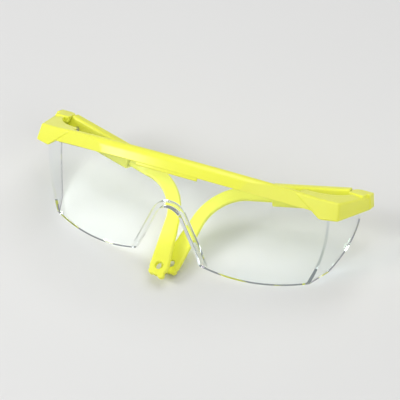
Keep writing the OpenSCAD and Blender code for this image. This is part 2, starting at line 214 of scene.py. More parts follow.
class Finishes(bpy.types.PropertyGroup):
    """Colours of the finishes"""
    yellow: colour("Yellow", "Bright moulded plastic", (0.92, 0.95, 0.1))
    yellow_deep: colour("Deep yellow", "Yellow where the moulding is thick", (0.88, 0.9, 0.075))
    scuff: colour("Scuffs", "Pale rubbed marks on the plastic", (0.95, 0.97, 0.42))
    clear: colour("Clear", "Tint of the clear lens", (0.955, 0.975, 0.98))
    steel: colour("Steel", "Hinge pins and pivots", (0.55, 0.56, 0.58))
    floor: colour("Floor", "Plain studio floor", (0.74, 0.74, 0.735))


class Studio(bpy.types.PropertyGroup):
    """Light levels of the studio"""
    key: FloatProperty(name="Key", description="Power of the key softbox in watts", default=4.0)
    top: FloatProperty(name="Top", description="Power of the top softbox in watts", default=4.3)
    fill: FloatProperty(name="Fill", description="Power of the fill softbox in watts", default=2.7)
    sky: FloatProperty(name="Sky", description="Level of the even light around", default=0.28)


# Placing

def at_rest():
    """From the upright design frame to the floor"""
    pose = bpy.context.scene.glasses_pose
    return (Matrix.Translation((0, pose.back, pose.high))
            @ Matrix.Rotation(-pose.lean, 4, "X"))


def at_lens():
    """From the lens reference frame, Z up the lens and Y behind it, to the design frame"""
    sizes = bpy.context.scene.glasses_lens
    return Matrix.Translation((0, sizes.ref_y, sizes.ref_z)) @ Matrix.Rotation(sizes.lean, 4, "X")


def mirrored(side, drawn="left"):
    """Leave a piece on the side that it was drawn for, and mirror it to the other one"""
    return Matrix.Identity(4) if side == drawn else Matrix.Scale(-1, 4, (1, 0, 0))


def at_axis():
    """From the left fold axis, Z up the axis, to the design frame"""
    sizes = bpy.context.scene.glasses_hinges
    place = Matrix.Translation((-sizes.place_x, sizes.place_y, sizes.place_z))
    return place @ Matrix.Rotation(sizes.lean, 4, "Y")


def at_temple(side):
    """From a temple's own frame, X along it, to the design frame"""
    sizes = bpy.context.scene.glasses_temples
    fold = sizes.fold_left if SIDES[side] < 0 else sizes.fold_right
    return mirrored(side) @ at_axis() @ Matrix.Rotation(-fold, 4, "Z")


def at_bar():
    """From the middle of the bar's curve to the design frame"""
    sizes = bpy.context.scene.glasses_bar
    return (Matrix.Translation((0, sizes.place_y, sizes.place_z))
            @ Matrix.Rotation(-sizes.rise, 4, "X") @ Matrix.Translation((0, sizes.front_r, 0)))


# Meshes

def move(bm, matrix):
    """Move a whole shape, and keep its faces outward through a mirror"""
    bmesh.ops.transform(bm, matrix=matrix, verts=bm.verts[:])
    if matrix.determinant() < 0:
        bmesh.ops.reverse_faces(bm, faces=bm.faces[:])


def face_outward(bm):
    """Turn all faces outward"""
    bmesh.ops.recalc_face_normals(bm, faces=bm.faces[:])


def block(low, high):
    """A box between two corners"""
    bm = bmesh.new()
    low = Vector(low)
    high = Vector(high)
    size = Matrix.Diagonal((*(high - low), 1.0))
    bmesh.ops.create_cube(bm, size=1.0, matrix=Matrix.Translation((low + high) / 2) @ size)
    return bm


def rod(radius, low, high, segments=96):
    """A round bar along Z"""
    bm = bmesh.new()
    bmesh.ops.create_cone(bm, cap_ends=True, segments=segments, radius1=radius, radius2=radius,
                          depth=high - low, matrix=Matrix.Translation((0, 0, (low + high) / 2)))
    return bm


def slice_off(bm, point, outward):
    """Cut a closed shape by a plane, drop what lies outward and close the cut"""
    everything = bm.verts[:] + bm.edges[:] + bm.faces[:]
    cut = bmesh.ops.bisect_plane(bm, geom=everything, dist=ON_PLANE, plane_co=point,
                                 plane_no=outward, clear_outer=True)
    edges = [g for g in cut["geom_cut"] if isinstance(g, bmesh.types.BMEdge)]
    bmesh.ops.contextual_create(bm, geom=edges)
    face_outward(bm)


def combine(bm, tool, operation, place=None):
    """Put a second closed shape in its place, then join it to a first or cut it away"""
    if place is not None:
        move(tool, place)
    things = []
    for shape in (bm, tool):
        mesh = bpy.data.meshes.new("shape")
        shape.to_mesh(mesh)
        thing = bpy.data.objects.new("shape", mesh)
        bpy.context.scene.collection.objects.link(thing)
        things.append(thing)
    modifier = things[0].modifiers.new("Combine", "BOOLEAN")
    modifier.operation = operation
    modifier.solver = "EXACT"
    modifier.object = things[1]
    made = things[0].evaluated_get(bpy.context.evaluated_depsgraph_get())
    bm.clear()
    bm.from_mesh(made.to_mesh())
    made.to_mesh_clear()
    tool.free()
    for thing in things:
        mesh = thing.data
        bpy.data.objects.remove(thing)
        bpy.data.meshes.remove(mesh)
    if not bm.faces:
        raise RuntimeError("nothing was left after two shapes were combined")


def make_piece(name, bm, node, body, material, smooth=40):
    """Turn a finished bmesh into a piece that stands for a CAD node and rides on its body"""
    mesh = bpy.data.meshes.new(name)
    bm.to_mesh(mesh)
    bm.free()
    mesh.shade_smooth()
    mesh.set_sharp_from_angle(angle=math.radians(smooth))
    mesh.materials.append(material)
    piece = bpy.data.objects.new(name, mesh)
    bpy.context.scene.collection.objects.link(piece)
    even = piece.modifiers.new("Even shading", "WEIGHTED_NORMAL")
    even.keep_sharp = True
    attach(piece, body)
    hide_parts(node)


def sharp_edges(bm, degrees):
    """Edges that turn by more than an angle"""
    bm.normal_update()
    limit = math.radians(degrees)
    return [e for e in bm.edges if e.is_manifold and e.calc_face_angle(0.0) > limit]


def round_edges(bm, edges, offset, segments=3):
    """Round a set of edges"""
    bmesh.ops.bevel(bm, geom=edges, offset=offset, offset_type="OFFSET", segments=segments,
                    affect="EDGES", profile=0.5, material=-1, clamp_overlap=True)


def round_corners(bm, verts, offset, segments):
    """Round corners of a flat outline"""
    bmesh.ops.bevel(bm, geom=verts, offset=offset, segments=segments, affect="VERTICES",
                    profile=0.5, material=-1)


def half_way(test, low, high, halvings=48):
    """The place between two values where a rising test passes zero"""
    for _ in range(halvings):
        middle = (low + high) / 2
        if test(middle) < 0:
            low = middle
        else:
            high = middle
    return (low + high) / 2


# Materials

def feed(socket, value):
    """Set a socket, or link it where the value is another socket"""
    if isinstance(value, bpy.types.NodeSocket):
        socket.id_data.links.new(value, socket)
    else:
        socket.default_value = value


def wire(node, **inputs):
    """Set or link inputs of a node, with underscores for the spaces in their names"""
    for label, value in inputs.items():
        feed(node.inputs[label.replace("_", " ")], value)


def add_node(tree, kind, **inputs):
    """A shader node with inputs that are set or linked"""
    node = tree.nodes.new("ShaderNode" + kind)
    wire(node, **inputs)
    return node


def add_math(tree, operation, *values):
    """A sum with values that are numbers or sockets"""
    node = add_node(tree, "Math")
    node.operation = operation
    for socket, value in zip(node.inputs, values):
        feed(socket, value)
    return node.outputs["Value"]


def add_range(tree, value, low, high, to_low=0.0, to_high=1.0):
    """Stretch a value from one range to another"""
    node = add_node(tree, "MapRange", Value=value, From_Min=low, From_Max=high,
                    To_Min=to_low, To_Max=to_high)
    return node.outputs["Result"]


def add_mix(tree, factor, first, second):
    """Mix of two colours, each a colour or a socket"""
    mix = add_node(tree, "Mix", Factor=factor)
    mix.data_type = "RGBA"
    sockets = {socket.identifier: socket for socket in (*mix.inputs, *mix.outputs)}
    for label, tint in (("A_Color", first), ("B_Color", second)):
        feed(sockets[label], tint if isinstance(tint, bpy.types.NodeSocket) else (*tint, 1.0))
    return sockets["Result_Color"]


def darker(tint, share):
    """A share of a colour"""
    return tuple(share * part for part in tint)


def new_group(name, inputs, outputs):
    """An empty shader node group with float inputs and outputs"""
    tree = bpy.data.node_groups.new(name, "ShaderNodeTree")
    for labels, way in ((inputs, "INPUT"), (outputs, "OUTPUT")):
        for label in labels:
            tree.interface.new_socket(name=label, in_out=way, socket_type="NodeSocketFloat")
    return tree, tree.nodes.new("NodeGroupInput").outputs, tree.nodes.new("NodeGroupOutput")


def place_group(tree, group, **values):
    """A group in a material, with its own values"""
    node = add_node(tree, "Group")
    node.node_tree = group
    wire(node, **values)
    return node.outputs


def moulded_skin():
    """Group: the flow of the moulding, and the height that it gives with a fine grain"""
    found = bpy.data.node_groups.get("Moulded skin")
    if found:
        return found
    tree, given, result = new_group(
        "Moulded skin", ("Flow scale", "Grain scale"), ("Flow", "Height"))
    place = add_node(tree, "TexCoord").outputs["Object"]
    flow = add_node(tree, "TexNoise", Vector=place, Scale=given["Flow scale"],
                    Detail=3.0, Roughness=0.5, Distortion=0.6).outputs["Fac"]
    grain = add_node(tree, "TexNoise", Vector=place, Scale=given["Grain scale"],
                     Detail=2.0, Roughness=0.55).outputs["Fac"]
    flow_share = 0.25
    wire(result, Flow=flow, Height=add_math(tree, "MULTIPLY_ADD", flow, flow_share, grain))
    return tree


def handling_marks():
    """Group: thin scratches and soft smears left by handling"""
    found = bpy.data.node_groups.get("Handling marks")
    if found:
        return found
    tree, given, result = new_group(
        "Handling marks", ("Scratch scale", "Smear scale"), ("Scratches", "Smears"))
    place = add_node(tree, "TexCoord").outputs["Object"]
    turn = add_node(tree, "Mapping", Vector=place, Rotation=(0.5, 0.9, 0.35),
                    Scale=(1.0, 14.0, 14.0))
    lines = add_node(tree, "TexNoise", Vector=turn.outputs["Vector"],
                     Scale=given["Scratch scale"], Detail=2.0, Roughness=0.6)
    patches = add_node(tree, "TexNoise", Vector=place, Scale=given["Smear scale"],
                       Detail=3.0, Roughness=0.55)
    thin = add_range(tree, lines.outputs["Fac"], 0.66, 0.74)
    soft = add_range(tree, patches.outputs["Fac"], 0.52, 0.72)
    wire(result, Scratches=add_math(tree, "MULTIPLY", thin, soft), Smears=soft)
    return tree


def new_material(name):
    """An empty node material with a Principled shader and an output"""
    material = bpy.data.materials.new(name)
    material.use_nodes = True
    tree = material.node_tree
    tree.nodes.clear()
    shader = add_node(tree, "BsdfPrincipled")
    output = add_node(tree, "OutputMaterial", Surface=shader.outputs["BSDF"])
    return material, tree, shader, output


def yellow_plastic(name, gloss):
    """Bright moulded plastic: flow lines, fine grain and pale rubbed marks"""
    found = bpy.data.materials.get(name)
    if found:
        return found
    looks = bpy.context.scene.glasses_finishes
    material, tree, shader, _ = new_material(name)
    skin = place_group(tree, moulded_skin(), Flow_scale=38.0, Grain_scale=3000.0)
    marks = place_group(tree, handling_marks(), Scratch_scale=80.0, Smear_scale=48.0)
    flow = add_range(tree, skin["Flow"], 0.35, 0.7)
    body = add_mix(tree, flow, looks.yellow, looks.yellow_deep)
    rubbed = add_range(tree, marks["Scratches"], 0.0, 1.0, to_high=0.35)
    rough = add_range(tree, marks["Smears"], 0.0, 1.0, to_low=gloss, to_high=gloss + 0.1)
    bump = add_node(tree, "Bump", Height=skin["Height"], Strength=0.12, Distance=0.00006)
    wire(shader, Base_Color=add_mix(tree, rubbed, body, looks.scuff), Roughness=rough,
         Normal=bump.outputs["Normal"], IOR=1.5, Subsurface_Weight=0.3,
         Subsurface_Radius=(1.0, 1.0, 0.25), Subsurface_Scale=0.002)
    return material


def frame_plastic():
    """Yellow of the bar, the hinge blocks and the sleeves"""
    return yellow_plastic("Yellow plastic", gloss=0.33)


def temple_plastic():
    """Slightly duller yellow of the arms"""
    return yellow_plastic("Temple plastic", gloss=0.36)


def clear_plastic():
    """Clear polycarbonate with faint smears; shadows and trapped light pass straight through"""
    looks = bpy.context.scene.glasses_finishes
    material, tree, shader, output = new_material("Clear polycarbonate")
    marks = place_group(tree, handling_marks(), Scratch_scale=60.0, Smear_scale=30.0)
    rough = add_range(tree, marks["Smears"], 0.0, 1.0, to_high=0.05)
    wire(shader, Base_Color=(*looks.clear, 1.0), Roughness=rough, IOR=1.58,
         Transmission_Weight=1.0, Thin_Film_Thickness=380.0, Thin_Film_IOR=1.4)
    light = add_node(tree, "LightPath")
    most_bounces = 4.5
    trapped = add_math(tree, "GREATER_THAN", light.outputs["Ray Depth"], most_bounces)
    passed = add_math(tree, "MAXIMUM", light.outputs["Is Shadow Ray"], trapped)
    through = add_node(tree, "BsdfTransparent", Color=(0.86, 0.89, 0.9, 1.0))
    either = add_node(tree, "MixShader", Fac=passed)
    feed(either.inputs[1], shader.outputs["BSDF"])
    feed(either.inputs[2], through.outputs["BSDF"])
    wire(output, Surface=either.outputs["Shader"])
    return material


def pin_steel():
    """Plain steel pins with drawn lines"""
    found = bpy.data.materials.get("Pin steel")
    if found:
        return found
    looks = bpy.context.scene.glasses_finishes
    material, tree, shader, _ = new_material("Pin steel")
    marks = place_group(tree, handling_marks(), Scratch_scale=400.0, Smear_scale=300.0)
    dull = add_range(tree, marks["Smears"], 0.0, 1.0, to_high=0.5)
    rough = add_range(tree, marks["Scratches"], 0.0, 1.0, to_low=0.28, to_high=0.5)
    wire(shader, Base_Color=add_mix(tree, dull, looks.steel, darker(looks.steel, 0.7)),
         Roughness=rough, Metallic=1.0)
    return material


def floor_paint():
    """Pale matt studio floor"""
    looks = bpy.context.scene.glasses_finishes
    material, tree, shader, _ = new_material("Studio floor")
    skin = place_group(tree, moulded_skin(), Flow_scale=3.0, Grain_scale=600.0)
    cloud = add_range(tree, skin["Flow"], 0.3, 0.7)
    wire(shader, Base_Color=add_mix(tree, cloud, looks.floor, darker(looks.floor, 0.985)),
         Roughness=0.75, Specular_IOR_Level=0.2)
    return material


def set_material(node, material):
    """Give a CAD node a better material"""
    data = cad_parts[node].data
    data.materials.clear()
    data.materials.append(material)


# Pieces

class LensPlan:
    """Outlines of the lens, and the surfaces they lie on, in the design frame"""

    # Places in metres between which an outline is looked for
    foot_search = (0.006, 0.03)
    ridge_search = (0.05, 0.08)
    under_search = (-0.06, 0.0)
    furthest_corner = 0.04

    # Least height in metres of the lowest row of faces
    first_row = 0.0012

    # Columns of faces over the nose, along a side of it, at its foot, and from there to the ridge
    over_nose = 8
    beside_nose = 8
    at_foot = 2
    to_ridge = 30

    def __init__(self, sizes):
        self.s = sizes
        self.place = at_lens()
        self.back = self.place.inverted()
        turn = Matrix.Rotation(-sizes.splay, 4, "Z")
        self.shield = Matrix.Translation((sizes.shield_x, 0, sizes.shield_z)) @ turn
        self.unshield = self.shield.inverted()

    def lower(self, x):
        """Height of the lower edge"""
        s = self.s
        return s.low_r - s.drop - math.sqrt(s.low_r ** 2 - (x - s.low_x) ** 2)

    def nose(self, x, grow):
        """Height of the nose opening, grown by a rim"""
        s = self.s
        r = s.nose_r + grow
        middle = -s.nose_top - s.nose_r
        knee = r * math.cos(s.nose_angle)
        if x < knee:
            return middle + math.sqrt(r * r - x * x)
        return middle + r * math.sin(s.nose_angle) - (x - knee) / math.tan(s.nose_angle)

    def foot(self, grow):
        """Distance from the middle where a side of the nose opening meets the lower edge"""
        return half_way(lambda x: self.lower(x) - self.nose(x, grow), *self.foot_search)

    def upper(self, x):
        """Height of the top edge"""
        return self.s.top - self.s.top_r + math.sqrt(self.s.top_r ** 2 - x * x)

    def level(self, x, row, rows):
        """Height of a row of the sheet: lower edge, inside of the rim, then evenly to the top"""
        base = max(self.lower(x), self.nose(x, 0))
        rim = max(self.nose(x, self.s.nose_rim), self.lower(x) + self.first_row)
        if row == 0:
            return base
        return rim + (self.upper(x) - rim) * (row - 1) / (rows - 1)

    def front(self, x, z):
        """Point of the front curve"""
        y = self.s.front_r - math.sqrt(self.s.front_r ** 2 - x * x)
        return self.place @ Vector((x, y, z))

    def side(self, y, z):
        """Point of a shield, along it and in height"""
        x = math.sqrt(self.s.bow ** 2 - z * z) - self.s.bow
        return self.shield @ Vector((x, y, z))

    def outside(self, point):
        """How far a point is outside the shield's curve"""
        p = self.unshield @ point
        return (p.x + self.s.bow) ** 2 + p.z ** 2 - self.s.bow ** 2

    def ridge(self, row, rows):
        """Distance of the ridge from the middle in one row"""
        def test(x):
            return self.outside(self.front(x, self.level(x, row, rows)))
        return half_way(test, *self.ridge_search)

    def under(self, y):
        """Height of a shield's lower edge"""
        def test(z):
            p = self.back @ self.side(y, z)
            return p.z - self.lower(p.x)
        return half_way(test, *self.under_search)

    def rear(self, z):
        """Distance along a shield to its rear edge"""
        s = self.s
        design_y = s.rear_y + math.sqrt(s.rear_r ** 2 - (z + s.shield_z - s.rear_z) ** 2)
        x = math.sqrt(s.bow ** 2 - z * z) - s.bow
        return (design_y + x * math.sin(s.splay)) / math.cos(s.splay)

    def shield_corners(self, ridge):
        """Corners of a shield, along it and in height: the lower two, then the upper two"""
        low_y = half_way(lambda y: y - self.rear(self.under(y)), ridge[0].x, self.furthest_corner)
        top_z = self.s.shield_top - self.s.shield_z
        low_rear = Vector((low_y, self.under(low_y)))
        return ridge[0], low_rear, ridge[-1], Vector((self.rear(top_z), top_z))

    def shield_point(self, corners, near, share):
        """Point of a shield at a share of the way back from a point of its ridge"""
        low_front, low_rear, top_front, top_rear = corners
        up = (near.y - low_front.y) / (top_front.y - low_front.y)
        low_flat = low_front.lerp(low_rear, share)
        low = Vector((low_flat.x, self.under(low_flat.x)))
        top = top_front.lerp(top_rear, share)
        rear_z = low_rear.y + (top_rear.y - low_rear.y) * up
        rear = Vector((self.rear(rear_z), rear_z))
        spot = near.lerp(rear, share) + low.lerp(top, up) - low_flat.lerp(top, up)
        return self.side(spot.x, spot.y)

    def columns(self, ridge):
        """Places of the sheet's columns from the middle to the ridge, as shares of the way"""
        foot = self.foot(0)
        rim_foot = self.foot(self.s.nose_rim)
        knee = self.s.nose_r * math.cos(self.s.nose_angle)
        turn = math.pi / 2 / self.over_nose
        places = [knee * math.sin(turn * k) for k in range(self.over_nose)]
        runs = ((knee, foot, self.beside_nose), (foot, rim_foot, self.at_foot),
                (rim_foot, ridge, self.to_ridge))
        for start, end, count in runs:
            places += [start + (end - start) * k / count for k in range(count)]
        places.append(ridge)
        return [x / ridge for x in places]


class GLASSES_OT_lens(bpy.types.Operator):
    """Model the clear lens with its side shields and nose rim"""
    bl_idname = "glasses.lens"
    bl_label = "Lens"

    rows = 26
    shield_columns = 16
    bead_segments = 6
    crease = 24             # degrees of turn at an edge that gets rounded
    facing_back = 0.7       # least backward part of the direction of a face at the back

    # Metres: slack around the nose rim and above its feet, and the sides of the notch's cutter
    rim_slack = 0.0003
    foot_clear = 0.0002
    notch_inner = 0.05
    notch_outer = 0.11
    notch_far = 0.1

    def execute(self, context):
        sizes = context.scene.glasses_lens
        plan = LensPlan(sizes)
        bm = self.half_sheet(plan)
        both = bm.verts[:] + bm.edges[:] + bm.faces[:]
        bmesh.ops.mirror(bm, geom=both, axis="X", merge_dist=TOUCHING)
        bmesh.ops.remove_doubles(bm, verts=bm.verts[:], dist=TOUCHING)
        face_outward(bm)
        bm.normal_update()
        if sum(f.normal.y for f in bm.faces) > 0:
            bmesh.ops.reverse_faces(bm, faces=bm.faces[:])
        self.thicken(bm, plan)
        for side in SIDES:
            notch = block((-self.notch_outer, sizes.notch_y, sizes.notch_z),
                          (-self.notch_inner, self.notch_far, self.notch_far))
            combine(bm, notch, "DIFFERENCE", mirrored(side))
        edges = sharp_edges(bm, self.crease)
        bead = [e for e in edges if all(self.on_rim(plan, v) for v in e.verts)]
        round_edges(bm, bead, sizes.bead, self.bead_segments)
        round_edges(bm, sharp_edges(bm, self.crease), sizes.edge)
        move(bm, at_rest())
        make_piece("clear_lens", bm, "lens", "front", clear_plastic())
        return {"FINISHED"}

    def half_sheet(self, plan):
        """The +X half of the outside of the lens: a grid laid over the front and the shield"""
        rows = self.rows
        ridge_x = [plan.ridge(i, rows) for i in range(rows + 1)]
        shares = plan.columns(ridge_x[0])
        turn_column = len(shares) - 1
        ridge = []
        for i, x in enumerate(ridge_x):
            ridge.append((plan.unshield @ plan.front(x, plan.level(x, i, rows))).yz)
        corners = plan.shield_corners(ridge)
        columns = turn_column + self.shield_columns
        bm = bmesh.new()
        bmesh.ops.create_grid(bm, x_segments=columns, y_segments=rows, size=1.0)
        for v in bm.verts:
            j = round((v.co.x + 1) / 2 * columns)
            i = round((v.co.y + 1) / 2 * rows)
            if j <= turn_column:
                x = shares[j] * ridge_x[i]
                v.co = plan.front(x, plan.level(x, i, rows))
            else:
                share = (j - turn_column) / self.shield_columns
                v.co = plan.shield_point(corners, ridge[i], share)
        return bm

    def on_rim(self, plan, vert):
        """Whether a corner belongs to the nose rim above its feet"""
        spot = plan.back @ vert.co
        x = abs(spot.x)
        rim = plan.s.nose_rim
        within = x < plan.foot(rim) and spot.z < plan.nose(x, rim + self.rim_slack)
        return within and spot.z > plan.lower(x) + self.foot_clear

    def thicken(self, bm, plan):
        """Give the sheet its thickness, then push the nose rim out behind it, less at its feet"""
        sizes = plan.s
        rim_foot = plan.foot(sizes.nose_rim)
        bmesh.ops.solidify(bm, geom=bm.faces[:], thickness=sizes.thick)
        bm.normal_update()
        rim = []
        for f in bm.faces:
            spot = plan.back @ f.calc_center_median()
            turned = plan.back.to_3x3() @ f.normal
            beside = abs(spot.x) < rim_foot
            near = spot.z < plan.nose(abs(spot.x), sizes.nose_rim)
            if turned.y > self.facing_back and beside and near:
                rim.append(f)
        around = list({e for f in rim for e in f.edges})
        grown = bmesh.ops.extrude_face_region(bm, geom=rim + around)
        moved = [g for g in grown["geom"] if isinstance(g, bmesh.types.BMVert)]
        for v in moved:
            spot = plan.back @ v.co
            rise = spot.z - plan.lower(abs(spot.x))
            share = math.sin(math.pi / 2 * min(1.0, max(0.0, rise / sizes.nib_long)))
            deep = sizes.nib_deep + (sizes.nose_deep - sizes.nib_deep) * share
            v.co += plan.place.to_3x3() @ Vector((0, deep, 0))
        face_outward(bm)


class GLASSES_OT_brow_bar(bpy.types.Operator):
    """Model the brow bar with its end pieces and hinge lugs"""
    bl_idname = "glasses.brow_bar"
    bl_label = "Brow bar"

    brow_segments = 10
    edge_segments = 5
    sweep_steps = 80
    end_segments = 6
    end_crease = 20         # degrees of turn at an edge of an end piece that gets rounded
    lug_crease = 30         # the same for the lugs
    corner_share = 0.98     # share of the lugs' reach that their rear corner's rounding takes
    corner_segments = 8

    # Metres by which a cutter or a blank reaches past what it cuts
    spare = 0.02
    slot_spare = 0.05
    pin_spare = 0.001

    def execute(self, context):
        sizes = context.scene.glasses_bar
        hinges = context.scene.glasses_hinges
        bm = self.curved_bar(sizes)
        for side in SIDES:
            axis = mirrored(side) @ at_axis()
            half = hinges.gap / 2 - TOUCHING
            room = rod(hinges.lug_r + hinges.room_play, -half, half)
            combine(bm, self.end_piece(sizes), "UNION", mirrored(side, drawn="right"))
            combine(bm, self.lugs(sizes, hinges), "UNION", axis)
            combine(bm, room, "DIFFERENCE", axis)
        move(bm, at_rest())
        make_piece("brow_bar_moulding", bm, "brow_bar", "front",
                   frame_plastic(), smooth=24)
        return {"FINISHED"}

    def facet(self, sizes, sink):
        """Point and outward direction of the facet in front of the +X ridge, sunk a little"""
        turn = Matrix.Rotation(sizes.facet, 3, "Z") @ Matrix.Rotation(-sizes.facet_lean, 3, "X")
        outward = turn @ Vector((0, -1, 0))
        return Vector((sizes.ridge_half, 0, 0)) - outward * sink, outward

    def roof(self, sizes, slope, step):
        """Point and outward direction of a roof that falls to the rear and to the +X side"""
        turn = Matrix.Rotation(-sizes.roof_fall, 3, "X") @ Matrix.Rotation(slope, 3, "Y")
        return Vector((sizes.ridge_half, 0, step)), turn @ Vector((0, 0, 1))

    def swept(self, sizes, low, high, inner, outer, half, brow, draft):
        """A rounded section swept round the bar's curve"""
        bm = bmesh.new()
        corners = [(inner, low + draft), (outer, low), (outer, high), (inner, high)]
        turn = Matrix.Rotation(-math.pi / 2 - half, 3, "Z")
        places = [turn @ Vector((r, 0, z)) for r, z in corners]
        verts = [bm.verts.new(place) for place in places]
        bm.faces.new(verts)
        if brow:
            round_corners(bm, [verts[2]], brow, self.brow_segments)
        small = [v for v in bm.verts if any((v.co - place).length < TOUCHING for place in places)]
        round_corners(bm, small, sizes.edge, self.edge_segments)
        everything = bm.verts[:] + bm.edges[:] + bm.faces[:]
        bmesh.ops.spin(bm, geom=everything, cent=(0, 0, 0), axis=(0, 0, 1), angle=2 * half,
                       steps=self.sweep_steps)
        face_outward(bm)
        move(bm, at_bar())
        return bm

    def curved_bar(self, sizes):
        """The bar between the two facets, with its locating tab"""
        outer = sizes.front_r
        bm = self.swept(sizes, 0, sizes.high, outer - sizes.deep, outer, sizes.half, sizes.brow,
                        sizes.draft)
        point, outward = self.facet(sizes, sizes.proud)
        slice_off(bm, point, outward)
        slice_off(bm, mirrored("right") @ point, mirrored("right") @ outward)
        edge = outer - sizes.tab_back
        tab = self.swept(sizes, -sizes.tab_drop, sizes.tab_drop, edge - sizes.tab_thick, edge,
                         math.asin(sizes.tab_half / outer), 0, 0)
        combine(bm, tab, "UNION")
        return bm

    def end_piece(self, sizes):
        """The angular end piece on the +X side"""
        ridge = Vector((sizes.ridge_half, 0, 0))
        bm = block((sizes.end_start, -sizes.end_front, -sizes.end_high),
                   (sizes.ridge_half + self.spare, sizes.end_long, sizes.end_high))
        slice_off(bm, *self.facet(sizes, 0))
        side = (Matrix.Rotation(math.pi / 2 - sizes.side_splay, 3, "Z")
                @ Matrix.Rotation(-sizes.side_lean, 3, "X"))
        slice_off(bm, ridge, side @ Vector((0, -1, 0)))
        slice_off(bm, *self.roof(sizes, sizes.roof, 0))
        slice_off(bm, (sizes.cut_x, 0, sizes.cut_z),
                  Matrix.Rotation(sizes.cut_slope, 3, "Y") @ Vector((0, 0, -1)))
        run = Vector((sizes.end_inner - sizes.end_start, sizes.end_long - sizes.end_back, 0))
        slice_off(bm, (sizes.end_start, sizes.end_back, 0), Vector((-run.y, run.x, 0)))
        rear = sizes.end_long - TOUCHING
        edges = [e for e in sharp_edges(bm, self.end_crease)
                 if min(v.co.y for v in e.verts) < rear]
        round_edges(bm, edges, sizes.end_edge, self.end_segments)
        cove = rod(sizes.cove_r, -self.spare, self.spare, segments=160)
        combine(bm, cove, "DIFFERENCE", Matrix.Translation((sizes.cove_x, sizes.cove_y, 0)))
        return bm

    def lugs(self, ends, sizes):
        """The two lugs of the left hinge, joined outside the knuckle, under a roof of their own"""
        bm = bmesh.new()
        low = -sizes.gap / 2 - sizes.lug_low
        high = sizes.gap / 2 + sizes.lug_top
        reach = sizes.lug_reach
        outline = [(-sizes.lug_out, reach), (-sizes.lug_out, -sizes.lug_step),
                   (-sizes.lug_r, -sizes.lug_step), (-sizes.lug_r, -sizes.lug_web),
                   (reach, -sizes.lug_web), (reach, reach)]
        verts = [bm.verts.new((x, y, low)) for x, y in outline]
        bm.faces.new(verts)
        round_corners(bm, [verts[5]], reach * self.corner_share, self.corner_segments)
        grown = bmesh.ops.extrude_face_region(bm, geom=bm.faces[:])
        top = [g for g in grown["geom"] if isinstance(g, bmesh.types.BMVert)]
        bmesh.ops.translate(bm, vec=(0, 0, high - low), verts=top)
        face_outward(bm)
        point, outward = self.roof(ends, 0, sizes.lug_rise)
        to_axis = at_axis().inverted() @ mirrored("right")
        slice_off(bm, to_axis @ point, to_axis.to_3x3() @ outward)
        round_edges(bm, sharp_edges(bm, self.lug_crease), sizes.lug_soft, self.edge_segments)
        slot = block((-sizes.wall, -self.slot_spare, -sizes.gap / 2),
                     (self.slot_spare, self.slot_spare, sizes.gap / 2))
        combine(bm, slot, "DIFFERENCE")
        pin = rod(sizes.pin_r, low - self.pin_spare, sizes.gap / 2 + sizes.pin_seat, segments=48)
        combine(bm, pin, "DIFFERENCE")
        return bm


class GLASSES_OT_sleeves(bpy.types.Operator):
    """Model the temple sleeves, forked at the hinge and hollow for the arms"""
    bl_idname = "glasses.sleeves"
    bl_label = "Temple sleeves"

    segments = 5
    crease = 35             # degrees of turn at an edge that gets rounded
    spare = 0.01            # metres by which a cutter reaches past the sleeve

    def execute(self, context):
        for side in SIDES:
            bm = self.sleeve(context.scene.glasses_temples, context.scene.glasses_hinges)
            move(bm, at_rest() @ at_temple(side))
            make_piece("sleeve_moulding_" + side, bm, "temple_sleeve_" + side, "sleeve_" + side,
                       frame_plastic(), smooth=30)
        return {"FINISHED"}

    def sleeve(self, sizes, hinges):
        """One sleeve in its temple's frame"""
        wide = sizes.sleeve_thick / 2
        tall = sizes.sleeve_high / 2
        bm = block((sizes.sleeve_start, -wide, -tall), (sizes.sleeve_end, wide, tall))
        along = [e for e in bm.edges if abs(e.verts[0].co.x - e.verts[1].co.x) > TOUCHING]
        round_edges(bm, along, sizes.sleeve_round, self.segments)
        slice_off(bm, (sizes.sleeve_start, 0, sizes.sleeve_slant - tall),
                  Matrix.Rotation(math.pi / 4, 3, "Y") @ Vector((0, 0, -1)))
        round_edges(bm, sharp_edges(bm, self.crease), sizes.end_soft, self.segments)
        half = sizes.fork / 2
        fork = block((-self.spare, -half, -tall - self.spare),
                     (sizes.fork_end, half, sizes.fork_top))
        combine(bm, fork, "DIFFERENCE")
        half = sizes.arm_thick / 2 + sizes.play
        rise = sizes.arm_high / 2 + sizes.play
        channel = block((sizes.channel_start, -half, -rise),
                        (sizes.sleeve_end + self.spare, half, rise))
        combine(bm, channel, "DIFFERENCE")
        hole = rod(hinges.tilt_r, -self.spare, self.spare, segments=48)
        pivot = Matrix.Translation((hinges.tilt_x, 0, 0)) @ Matrix.Rotation(math.pi / 2, 4, "X")
        combine(bm, hole, "DIFFERENCE", pivot)
        return bm


